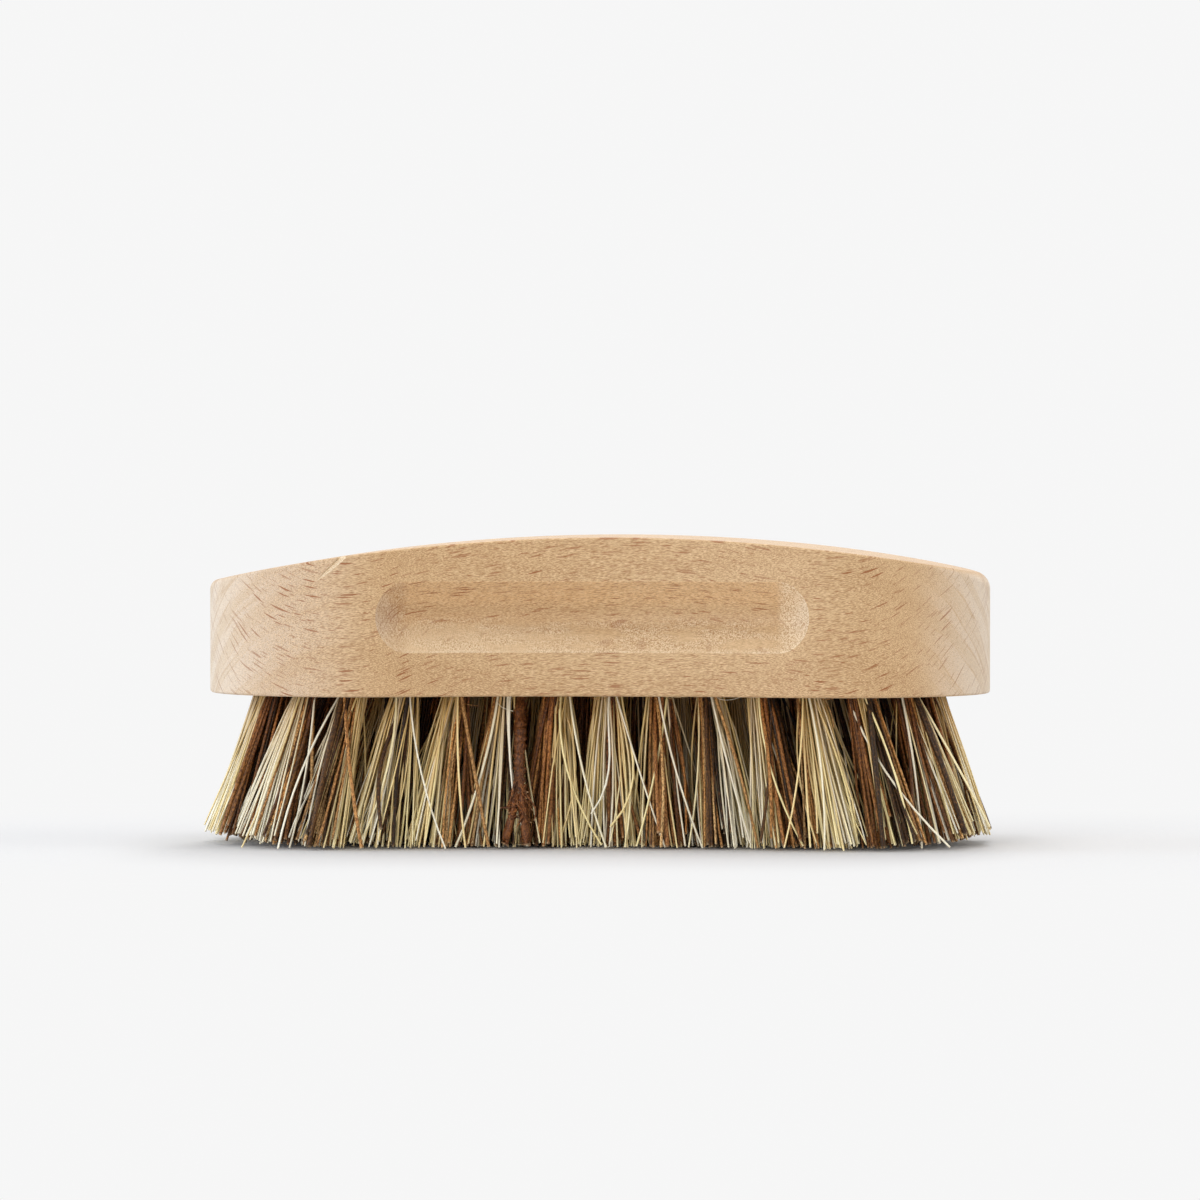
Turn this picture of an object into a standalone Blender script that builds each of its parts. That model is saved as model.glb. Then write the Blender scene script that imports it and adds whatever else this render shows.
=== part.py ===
"""A hand scrub brush: a waisted beech block with two finger grooves, and plant fibre tufts in blind holes.

The brush stands on its bristle tips at z = 0. X runs along the block, Y across it, and Z up.
"""

from math import asin, atan2, cos, hypot, pi, radians, sin, sqrt

import bmesh
import bpy

MM = 0.001

# Block: plan, side view and rounded edges
BLOCK_LENGTH = 150 * MM
LOBE_RADIUS = 30 * MM
WAIST_DEPTH = 6 * MM
BLOCK_HEIGHT = 30 * MM
ARCH_RISE = 8 * MM
EDGE_ROUND = 1 * MM

# Finger grooves, one along each long side, milled with a pointed cutter that has a blunt nose
GROOVE_END_MARGIN = 33.5 * MM
GROOVE_WIDTH = 13.2 * MM
GROOVE_DEPTH = 4 * MM
GROOVE_NOSE = 2.2 * MM
GROOVE_HEIGHT = 15 * MM

# Tuft holes: blind, drilled from below in two rings and one in the middle of each lobe
OUTER_RING_RADIUS = 19 * MM
OUTER_ROW_OFFSET = 13 * MM
HOLE_DIAMETER = 6 * MM
HOLE_DEPTH = 10 * MM
OUTER_HOLES = 31
INNER_HOLES = 25

# Tufts: a packed root in the hole, and strands that fan out below it
BRISTLE_LENGTH = 29 * MM
TRIM_LENGTH = 0.5 * MM
FAN_HEIGHT = 205 * MM
STRAND_WIDTH = 1.2 * MM
STRAND_TAPER_SHARE = 0.75
STRANDS_AROUND = 7

# Clearances
ROOT_CLEARANCE = 0.3 * MM
STRAND_CLEARANCE = 0.3 * MM
CUT_OVERRUN = 1 * MM

# Facets
LOBE_FACETS = 14
WAIST_FACETS = 8
EDGE_FACETS = 2
HOLE_SIDES = 12
GROOVE_END_FACETS = 6
GROOVE_STATIONS = 15
GROOVE_RING_SHARES = (0.1, 0.3, 0.55, 1)
STRAND_SIDES = 3
SMOOTH_ANGLE = radians(35)

# Derived sizes
LOBE_CENTRE = BLOCK_LENGTH / 2 - LOBE_RADIUS
HALF_WAIST = LOBE_RADIUS - WAIST_DEPTH
ARCH_RADIUS = ((BLOCK_LENGTH / 2) ** 2 + ARCH_RISE**2) / (2 * ARCH_RISE)
GROOVE_LENGTH = BLOCK_LENGTH - 2 * GROOVE_END_MARGIN
GROOVE_HALF_PATH = (GROOVE_LENGTH - GROOVE_WIDTH) / 2
NOSE_DROP = hypot(GROOVE_NOSE, GROOVE_WIDTH / 2) - GROOVE_NOSE
ROOT_RADIUS = HOLE_DIAMETER / 2 - ROOT_CLEARANCE
ROOT_LENGTH = HOLE_DEPTH - ROOT_CLEARANCE
STRAND_RADIUS = STRAND_WIDTH / 2
TIP_RADIUS = STRAND_RADIUS * STRAND_TAPER_SHARE
ROOT_SPREAD = ROOT_RADIUS * cos(pi / HOLE_SIDES) - STRAND_RADIUS - STRAND_CLEARANCE / 2
FAN = 1 + BRISTLE_LENGTH / FAN_HEIGHT

# Colours, as linear red, green and blue
BEECH = (0.58, 0.37, 0.20)
PALE_FIBRE = (0.58, 0.50, 0.29)
BROWN_FIBRE = (0.20, 0.09, 0.035)
WOOD_ROUGHNESS = 0.55
FIBRE_ROUGHNESS = 0.6
BROWN_EVERY = 3


class Waisted:
    """A closed curve in plan: two round end lobes, joined front and back by a drawn-in waist arc."""

    def __init__(self, lobe_radius, half_waist):
        self.lobe_radius = lobe_radius
        self.half_waist = half_waist
        drop = lobe_radius - half_waist
        self.waist_radius = (LOBE_CENTRE**2 + half_waist**2 - lobe_radius**2) / (2 * drop)
        self.waist_angle = asin(LOBE_CENTRE / (self.waist_radius + lobe_radius))
        self.lobe_angle = pi / 2 + self.waist_angle
        self.quarter = lobe_radius * self.lobe_angle + self.waist_radius * self.waist_angle

    def at(self, distance):
        """The point this far along the curve, starting at the +X end and going towards +Y."""
        along = distance % (4 * self.quarter)
        side_x, side_y = 1, 1
        if along > 2 * self.quarter:
            along, side_y = 4 * self.quarter - along, -1
        if along > self.quarter:
            along, side_x = 2 * self.quarter - along, -1
        on_lobe = self.lobe_radius * self.lobe_angle
        if along <= on_lobe:
            turn = along / self.lobe_radius
            x, y = LOBE_CENTRE + self.lobe_radius * cos(turn), self.lobe_radius * sin(turn)
        else:
            turn = self.waist_angle - (along - on_lobe) / self.waist_radius
            x = self.waist_radius * sin(turn)
            y = self.half_waist + self.waist_radius * (1 - cos(turn))
        return side_x * x, side_y * y

    def outline(self):
        """Points for a mesh, with whole facets on each lobe and each waist arc."""
        on_lobe = self.lobe_radius * self.lobe_angle
        lobe = [on_lobe * i / LOBE_FACETS for i in range(LOBE_FACETS)]
        waist = [on_lobe + (self.quarter - on_lobe) * i / WAIST_FACETS for i in range(WAIST_FACETS)]
        rising = lobe + waist
        falling = [2 * self.quarter - s for s in reversed(rising[1:] + [self.quarter])]
        half = rising + falling
        return [self.at(s) for s in half + [2 * self.quarter + s for s in half]]

    def spread(self, count):
        """This many points at equal distances, the middle one on the axis at the -X end."""
        pitch = 4 * self.quarter / count
        return [self.at(2 * self.quarter + pitch * (i - count // 2)) for i in range(count)]


def clear_scene():
    for obj in list(bpy.data.objects):
        bpy.data.objects.remove(obj)


def material(name, colour, roughness):
    made = bpy.data.materials.new(name)
    made.use_nodes = True
    shader = made.node_tree.nodes["Principled BSDF"]
    shader.inputs["Base Color"].default_value = (*colour, 1)
    shader.inputs["Roughness"].default_value = roughness
    shader.inputs["Metallic"].default_value = 0
    return made


def add_object(name, bm, place, parent, finish=None):
    """A new object from a bmesh, which it frees."""
    bmesh.ops.recalc_face_normals(bm, faces=bm.faces)
    mesh = bpy.data.meshes.new(name)
    bm.to_mesh(mesh)
    bm.free()
    mesh.shade_smooth()
    mesh.set_sharp_from_angle(angle=SMOOTH_ANGLE)
    if finish:
        mesh.materials.append(finish)
    obj = bpy.data.objects.new(name, mesh)
    obj.location = place
    obj.parent = parent
    bpy.context.scene.collection.objects.link(obj)
    return obj


def make_cutter(obj):
    obj.hide_render = True
    obj.display_type = "WIRE"
    return obj


def cut(obj, cutter):
    modifier = obj.modifiers.new(cutter.name, "BOOLEAN")
    modifier.operation = "DIFFERENCE"
    modifier.solver = "EXACT"
    modifier.object = cutter


def ring(bm, points):
    return [bm.verts.new(point) for point in points]


def bridge(bm, lower, upper):
    """Faces between two closed rings of as many points."""
    for i in range(len(lower)):
        j = (i + 1) % len(lower)
        bm.faces.new((lower[i], lower[j], upper[j], upper[i]))


def arch_height(x):
    """Height of the block's arched top above its underside."""
    return BLOCK_HEIGHT - (ARCH_RADIUS - sqrt(ARCH_RADIUS**2 - x**2))


def close_in_strips(bm, rim):
    """Strips across a symmetric ring, whose first corner lies on its long axis."""
    count = len(rim)
    for i in range(count // 2):
        strip = [rim[i], rim[i + 1], rim[(count - i - 1) % count], rim[(count - i) % count]]
        bm.faces.new(list(dict.fromkeys(strip)))


def block_body(plan):
    """The block before it is cut. Its top is strips that run across, from the front to the back."""
    outline = plan.outline()
    bm = bmesh.new()
    under = ring(bm, [(x, y, 0) for x, y in outline])
    top = ring(bm, [(x, y, arch_height(x)) for x, y in outline])
    bridge(bm, under, top)
    bm.faces.new(under)
    close_in_strips(bm, top)
    return bm


def round_edges(obj):
    modifier = obj.modifiers.new("rounded_edges", "BEVEL")
    modifier.width = EDGE_ROUND
    modifier.segments = EDGE_FACETS
    modifier.limit_method = "ANGLE"
    modifier.angle_limit = SMOOTH_ANGLE


def hole_points():
    """Centres of the outer ring, the inner ring and the two middles of the lobes.

    The inner ring lies half way to a lobe's middle there, and a third of the way out at the waist,
    so the rows are evenly spaced in both places.
    """
    outer = Waisted(OUTER_RING_RADIUS, OUTER_ROW_OFFSET).spread(OUTER_HOLES)
    inner = Waisted(OUTER_RING_RADIUS / 2, OUTER_ROW_OFFSET / 3).spread(INNER_HOLES)
    return outer, inner, [(-LOBE_CENTRE, 0), (LOBE_CENTRE, 0)]


def circle(radius, sides, turn=0):
    """Corners of a regular polygon, the first one at this turn."""
    angles = [turn + 2 * pi * i / sides for i in range(sides)]
    return [(radius * cos(angle), radius * sin(angle)) for angle in angles]


def around(point, corners):
    """The corners of a level polygon, moved to this point."""
    x, y, z = point
    return [(x + u, y + v, z) for u, v in corners]


def hole_cutter(places):
    """One upright prism for each hole, from below the underside to the hole's blind end."""
    bm = bmesh.new()
    for x, y in places:
        rim = circle(HOLE_DIAMETER / 2, HOLE_SIDES, atan2(y, x))
        mouth = ring(bm, around((x, y, -CUT_OVERRUN), rim))
        blind = ring(bm, around((x, y, HOLE_DEPTH), rim))
        bridge(bm, mouth, blind)
        bm.faces.new(mouth)
        bm.faces.new(blind)
    return bm


def groove_depth(reach):
    """Depth of the groove's cut at this distance from its middle line. Past the lip it is negative."""
    return GROOVE_DEPTH * (1 - (hypot(GROOVE_NOSE, reach) - GROOVE_NOSE) / NOSE_DROP)


def stadium(reach):
    """(along, up) round a long hole with round ends, at this distance from the groove's middle line."""
    end = []
    for i in range(GROOVE_END_FACETS):
        turn = pi / 2 * i / GROOVE_END_FACETS
        end.append((GROOVE_HALF_PATH + reach * cos(turn), reach * sin(turn)))
    straight = []
    for i in range(GROOVE_STATIONS + 1):
        straight.append((GROOVE_HALF_PATH * (1 - 2 * i / GROOVE_STATIONS), reach))
    upper = end + straight + [(-along, up) for along, up in reversed(end)]
    return upper + [(-along, -up) for along, up in upper[1:-1]]


def groove_cutter(plan, side):
    """The cut of a pointed cutter that is sunk into the side and moved along the waist arc."""
    centre_y = plan.half_waist + plan.waist_radius
    reaches = [GROOVE_WIDTH / 2 * share for share in GROOVE_RING_SHARES]
    reaches.append(GROOVE_WIDTH / 2 + CUT_OVERRUN)
    bm = bmesh.new()
    rings = []
    for reach in reaches:
        path_radius = plan.waist_radius + groove_depth(reach)
        corners = []
        for along, up in stadium(reach):
            turn = along / plan.waist_radius
            y = side * (centre_y - path_radius * cos(turn))
            corners.append((path_radius * sin(turn), y, GROOVE_HEIGHT + up))
        rings.append(ring(bm, corners))
    for inner, outer in zip(rings, rings[1:]):
        bridge(bm, inner, outer)
    close_in_strips(bm, rings[0])
    close_in_strips(bm, rings[-1])
    return bm


def nearest_pair(places):
    """Distance between the two holes that lie closest together."""
    return min(hypot(x - u, y - v) for i, (x, y) in enumerate(places) for u, v in places[i + 1 :])


def strand_tip(root, target):
    """Where a strand ends: short of its target on the floor, or cut flat there if it would reach past."""
    step = [b - a for a, b in zip(root, target)]
    length = hypot(*step)
    share = min(1, (BRISTLE_LENGTH + TRIM_LENGTH) / length)
    return [a + share * b for a, b in zip(root, step)]


def loop_edges(bm, corners):
    return [bm.edges.get((a, b)) for a, b in zip(corners, corners[1:] + corners[:1])]


def strand(bm, start, target):
    """One strand, from the root to its cut tip. It returns the edges that join it to the root."""
    end = strand_tip(start, target)
    turn = atan2(start[1], start[0])
    foot = ring(bm, around(start, circle(STRAND_RADIUS, STRAND_SIDES, turn)))
    tip = ring(bm, around(end, circle(TIP_RADIUS, STRAND_SIDES, turn)))
    bridge(bm, foot, tip)
    bm.faces.new(tip)
    return loop_edges(bm, foot)


def tuft(place, tip_spread):
    """A packed root and its strands as one body: one strand in the middle, and the others round it.

    Its origin is the middle of the hole's mouth, and it leans outward with the fan of all the tufts.
    """
    bm = bmesh.new()
    outward = atan2(place[1], place[0])
    rim = circle(ROOT_RADIUS, HOLE_SIDES, outward)
    mouth = ring(bm, around((0, 0, 0), rim))
    blind = ring(bm, around((0, 0, ROOT_LENGTH), rim))
    bridge(bm, mouth, blind)
    bm.faces.new(blind)
    lean_x = (FAN - 1) * place[0]
    lean_y = (FAN - 1) * place[1]
    starts = [(0, 0)] + circle(ROOT_SPREAD, STRANDS_AROUND, outward)
    ends = [(0, 0)] + circle(tip_spread, STRANDS_AROUND, outward)
    cap_edges = loop_edges(bm, mouth)
    for (x, y), (tip_x, tip_y) in zip(starts, ends):
        cap_edges += strand(bm, (x, y, 0), (lean_x + tip_x, lean_y + tip_y, -BRISTLE_LENGTH))
    bmesh.ops.triangle_fill(bm, edges=cap_edges, use_beauty=True)
    return bm


def main():
    clear_scene()
    beech = material("beech", BEECH, WOOD_ROUGHNESS)
    pale_fibre = material("pale_fibre", PALE_FIBRE, FIBRE_ROUGHNESS)
    brown_fibre = material("brown_fibre", BROWN_FIBRE, FIBRE_ROUGHNESS)
    brush = bpy.data.objects.new("scrub_brush", None)
    bpy.context.scene.collection.objects.link(brush)
    underside = (0, 0, BRISTLE_LENGTH)

    plan = Waisted(LOBE_RADIUS, HALF_WAIST)
    outer, inner, middles = hole_points()
    places = outer + inner + middles

    block = add_object("block", block_body(plan), underside, brush, beech)
    round_edges(block)
    cut(block, make_cutter(add_object("hole_cutter", hole_cutter(places), underside, brush)))
    for name, side in (("front", -1), ("back", 1)):
        cutter = add_object(f"{name}_groove_cutter", groove_cutter(plan, side), underside, brush)
        cut(block, make_cutter(cutter))

    names = [f"outer_tuft_{i + 1:02d}" for i in range(OUTER_HOLES)]
    names += [f"inner_tuft_{i + 1:02d}" for i in range(INNER_HOLES)]
    names += ["lobe_tuft_left", "lobe_tuft_right"]
    tip_spread = (nearest_pair(places) * FAN - STRAND_CLEARANCE) / 2 - TIP_RADIUS
    for i, (name, (x, y)) in enumerate(zip(names, places)):
        finish = brown_fibre if (i + 1) % BROWN_EVERY == 0 else pale_fibre
        add_object(name, tuft((x, y), tip_spread), (x, y, BRISTLE_LENGTH), brush, finish)


main()
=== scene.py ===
import random
from math import asin, atan2, cos, hypot, pi, radians, sin, sqrt, tan

import bmesh
import bpy
import numpy as np
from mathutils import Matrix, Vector


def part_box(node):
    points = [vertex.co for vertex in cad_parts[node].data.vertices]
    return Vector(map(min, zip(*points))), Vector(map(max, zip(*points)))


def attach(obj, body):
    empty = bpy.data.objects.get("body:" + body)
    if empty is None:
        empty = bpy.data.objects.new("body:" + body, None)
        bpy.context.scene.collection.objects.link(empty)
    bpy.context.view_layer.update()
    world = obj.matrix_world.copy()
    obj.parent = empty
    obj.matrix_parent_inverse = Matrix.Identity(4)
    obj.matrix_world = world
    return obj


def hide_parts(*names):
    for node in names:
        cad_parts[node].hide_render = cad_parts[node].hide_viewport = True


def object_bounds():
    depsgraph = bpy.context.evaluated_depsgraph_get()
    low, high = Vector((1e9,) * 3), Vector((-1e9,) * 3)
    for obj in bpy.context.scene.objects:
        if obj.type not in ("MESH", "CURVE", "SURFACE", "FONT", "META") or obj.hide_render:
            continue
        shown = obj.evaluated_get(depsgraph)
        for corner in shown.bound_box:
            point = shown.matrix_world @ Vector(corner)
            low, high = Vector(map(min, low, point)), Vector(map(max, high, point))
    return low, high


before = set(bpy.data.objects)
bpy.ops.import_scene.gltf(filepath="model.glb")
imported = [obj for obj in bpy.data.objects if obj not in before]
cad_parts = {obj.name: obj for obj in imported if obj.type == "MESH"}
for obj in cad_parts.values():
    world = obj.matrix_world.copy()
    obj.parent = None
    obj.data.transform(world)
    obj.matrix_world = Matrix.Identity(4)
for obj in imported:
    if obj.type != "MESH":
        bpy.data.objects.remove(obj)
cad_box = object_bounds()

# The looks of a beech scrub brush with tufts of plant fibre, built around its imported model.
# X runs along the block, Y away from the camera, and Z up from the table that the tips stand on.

MM = 0.001

# The block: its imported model's box gives the main sizes
BLOCK_LOW, BLOCK_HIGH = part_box("block")
UNDERSIDE = BLOCK_LOW.z
BLOCK_LENGTH = BLOCK_HIGH.x - BLOCK_LOW.x
LOBE_RADIUS = (BLOCK_HIGH.y - BLOCK_LOW.y) / 2
BLOCK_HEIGHT = BLOCK_HIGH.z - BLOCK_LOW.z
LOBE_CENTRE = BLOCK_LENGTH / 2 - LOBE_RADIUS
WAIST_INSET = 6 * MM
HALF_WAIST = LOBE_RADIUS - WAIST_INSET
ARCH_RISE = 8 * MM
ARCH_RADIUS = ((BLOCK_LENGTH / 2) ** 2 + ARCH_RISE**2) / (2 * ARCH_RISE)
ARCH_SHIFT = 3.3 * MM
EDGE_ROUND = 0.5 * MM
LEFT_ROUND = 1.5 * MM
RIGHT_ROUND = 2.7 * MM
ROUND_REACH = 14 * MM
LOBE_FACETS = 56
WAIST_FACETS = 24
EDGE_FACETS = 5

# Finger grooves: the cut of a pointed cutter with a blunt nose, and softly sanded rims
GROOVE_HALF_PATH = 34.9 * MM
GROOVE_HEIGHT = 15 * MM
GROOVE_DEPTH = 4 * MM
GROOVE_REACH = 6.6 * MM
GROOVE_NOSE = 2.2 * MM
RIM_ROUND = 0.45 * MM
RIM_SLOPE = radians(8)
CUTTER_LIFT = 0.3 * MM
CUT_STEPS = 20
RIM_STEPS = 6
MERGE_REACH = 0.001 * MM
SHARP_ANGLE = radians(35)

# The nick's two ends, as x from the block's middle and height above its underside, and its cutter
NICK_LOW = (-51.9 * MM, 21.8 * MM)
NICK_HIGH = (-46.0 * MM, 27.2 * MM)
NICK_OVERRUN = 1.5 * MM
NICK_DEPTH = 0.8 * MM
NICK_CLEAR = 1.6 * MM
NICK_ABOVE = 1.0 * MM
NICK_BELOW = 3.6 * MM

# Tuft holes, seen from below
HOLE_RADIUS = 3 * MM
HOLE_DEPTH = 10 * MM
HOLE_SIDES = 24


def colour(red, green, blue):
    """A colour as it looks on a screen, from 0 to 255, turned into the shader's linear light."""
    return tuple((c / 255) ** 2.2 for c in (red, green, blue)) + (1,)


class Value:
    """A socket that gives a number. Arithmetic on it adds Math nodes to its finish."""

    def __init__(self, finish, socket):
        self.finish = finish
        self.socket = socket

    def maths(self, operation, *values):
        settings = {"operation": operation}
        return self.finish.node("ShaderNodeMath", settings, dict(enumerate(values)))

    def __add__(self, other):
        return self.maths("ADD", self, other)

    def __sub__(self, other):
        return self.maths("SUBTRACT", self, other)

    def __mul__(self, other):
        return self.maths("MULTIPLY", self, other)

    def __truediv__(self, other):
        return self.maths("DIVIDE", self, other)

    def __rsub__(self, other):
        return self.maths("SUBTRACT", other, self)

    __radd__ = __add__
    __rmul__ = __mul__

    def sister(self, name):
        """Another output of the same node."""
        return Value(self.finish, self.socket.node.outputs[name])

    def steps(self, low, high):
        """0 below low, 1 above high, and a smooth rise between. Swapped ends give a fall."""
        settings = {"interpolation_type": "SMOOTHSTEP"}
        return self.finish.node("ShaderNodeMapRange", settings, {0: self, 1: low, 2: high})

    def wave(self, length):
        """0 to 1 and back, once in each length."""
        return self.maths("SINE", self * (2 * pi / length)) * 0.5 + 0.5

    def most(self, other):
        return self.maths("MAXIMUM", self, other)

    def size(self):
        return self.maths("ABSOLUTE", self)

    def root(self):
        return self.maths("SQRT", self)


class Tree:
    """A node tree, whose pattern is written as expressions."""

    def __init__(self, owner):
        owner.use_nodes = True
        self.tree = owner.node_tree

    def node(self, kind, settings=None, inputs=None, output=0):
        """Adds a node: its settings first, then its sockets, each a number, a colour or a Value."""
        made = self.tree.nodes.new(kind)
        for name, setting in (settings or {}).items():
            setattr(made, name, setting)
        for key, given in (inputs or {}).items():
            if isinstance(given, Value):
                self.tree.links.new(given.socket, made.inputs[key])
            else:
                made.inputs[key].default_value = given
        return Value(self, made.outputs[output])

    def mix(self, share, first, second):
        """The first colour where share is 0, the second where it is 1."""
        return self.node("ShaderNodeMix", {"data_type": "RGBA"}, {0: share, 6: first, 7: second}, 2)

    def tint(self, share, first, second):
        """The first colour darkened by the second, by this share."""
        settings = {"data_type": "RGBA", "blend_type": "MULTIPLY"}
        return self.node("ShaderNodeMix", settings, {0: share, 6: first, 7: second}, 2)

    def scaled(self, vector, *scale):
        settings = {"operation": "MULTIPLY"}
        return self.node("ShaderNodeVectorMath", settings, {0: vector, 1: scale})

    def moved(self, vector, *step):
        return self.node("ShaderNodeVectorMath", {"operation": "ADD"}, {0: vector, 1: step})

    def noise(self, vector, detail, roughness=0.5):
        inputs = {"Vector": vector, "Scale": 1.0, "Detail": detail, "Roughness": roughness}
        return self.node("ShaderNodeTexNoise", {}, inputs)

    def parts(self, vector):
        """The three numbers of a vector."""
        split = self.node("ShaderNodeSeparateXYZ", {}, {0: vector})
        return [split.sister(axis) for axis in "XYZ"]

    def seen_plainly(self):
        """1 for rays from the camera, from gloss or through glass, and 0 for light."""
        path = self.node("ShaderNodeLightPath")
        straight = path.sister("Is Camera Ray").most(path.sister("Is Glossy Ray"))
        return straight.most(path.sister("Is Transmission Ray"))

    def show(self, shader, output):
        self.tree.links.new(shader.socket, self.tree.nodes[output].inputs["Surface"])


class Finish(Tree):
    """A material on one Principled shader."""

    def __init__(self, name):
        self.material = bpy.data.materials.new(name)
        super().__init__(self.material)
        self.shader = self.tree.nodes["Principled BSDF"]

    def bump(self, height, distance, strength):
        """Raises the surface by this height, in parts of the distance."""
        inputs = {"Height": height, "Distance": distance, "Strength": strength}
        self.link(self.node("ShaderNodeBump", {}, inputs), "Normal")

    def link(self, value, socket):
        self.tree.links.new(value.socket, self.shader.inputs[socket])

    def constant(self, socket, value):
        self.shader.inputs[socket].default_value = value


# The tones of beech, as they look on a screen. Some of them also stand for painted light and shade in the
# grooves
BEECH_TAN = colour(196, 161, 118)
BEECH_WARM = colour(191, 154, 110)
BEECH_PALE = colour(200, 183, 166)
BEECH_LIGHT = colour(220, 188, 146)
BEECH_DARK = colour(156, 116, 76)
BURNISH_AND_PAINTED_LIGHT = colour(218, 172, 120)
RAY_BROWN = colour(138, 78, 32)
RING_TAN_AND_PAINTED_SHADE = colour(172, 133, 89)
END_CREAM = colour(228, 218, 204)
END_TAN = colour(204, 184, 154)
SHEEN_CREAM = colour(250, 246, 236)
CUT_CREAM = colour(240, 222, 192)
CUT_SHADE = colour(206, 176, 136)
# Fuzz tones, which also stand for painted light and painted shade on the groove's end walls and rim
FUZZ_WHITE_AND_PAINTED_LIGHT = colour(233, 213, 181)
FUZZ_DARK_AND_PAINTED_SHADE = colour(146, 94, 38)

# Where the left end starts to grow pale and where it is palest, in millimetres from the middle
PALE_END = (-38, -62)

# A groove's marks: where its round ends begin, the pitch of the cutter's chatter, both in
# millimetres, and the strength of the fuzz
GROOVE_END_X = 34.4
CHATTER_PITCH = 0.44
FUZZ_SHARE = 0.64

# The way of the grain, and how far it sways along the fibres, through the growth rings and across
# the rays, in millimetres
GRAIN_TURN = radians(-45)
GRAIN_RISE = radians(3)
SWAY = (0.0, 4.0, 3.6)

# How fine each pattern is the same three ways, in repeats to the millimetre
SWAY_GRAIN = (0.03, 0.06, 0.06)
RING_GRAIN = (0.006, 0.33, 0.015)
BROAD_GRAIN = (0.012, 0.07, 0.05)
STREAK_GRAIN = (0.4, 7.0, 7.0)
FIBRE_GRAIN = (1.2, 10.0, 10.0)

# Layers of wood rays: the layer's place and its cell, both in millimetres, and the smallest and the
# largest ray as shares of a cell
LARGE_RAYS = ((0, 0, 0), (7.0, 17.0, 0.46), 0.04, 0.4)
MORE_RAYS = ((4.1, 9.3, 0.4), (5.6, 13.0, 0.42), 0.04, 0.38)
SMALL_RAYS = ((2.2, 5.1, 0.7), (3.0, 7.5, 0.34), 0.06, 0.4)


def bent_grain(wood, millimetres):
    """Each spot's place along the fibres, through the growth rings and across the rays."""
    settings = {"vector_type": "POINT"}
    grain = wood.node("ShaderNodeMapping", settings, {0: millimetres, 2: (GRAIN_TURN, GRAIN_RISE, 0)})
    inputs = {"Vector": wood.scaled(grain, *SWAY_GRAIN), "Scale": 1.0, "Detail": 1.0}
    sway = wood.moved(wood.node("ShaderNodeTexNoise", {}, inputs, output=1), -0.5, -0.5, -0.5)
    settings = {"operation": "MULTIPLY_ADD"}
    return wood.node("ShaderNodeVectorMath", settings, {0: sway, 1: SWAY, 2: grain})


def ray_flecks(wood, grain, place, cell, smallest, largest):
    """A layer of wood rays: thin pointed sheets along the grain and the radius, one in each cell.

    Each ray has its own size, between these two shares of its cell, and its own depth of colour.
    """
    near = wood.scaled(wood.moved(grain, *place), *(1 / size for size in cell))
    settings = {"feature": "F1", "distance": "MINKOWSKI"}
    inputs = {"Vector": near, "Scale": 1.0, "Exponent": 1.3, "Randomness": 1.0}
    distance = wood.node("ShaderNodeTexVoronoi", settings, inputs)
    chance, depth, _ = wood.parts(distance.sister("Color"))
    size = chance * (largest - smallest) + smallest
    return (distance / size).steps(1.0, 0.75) * (depth * 0.5 + 0.5)


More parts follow.
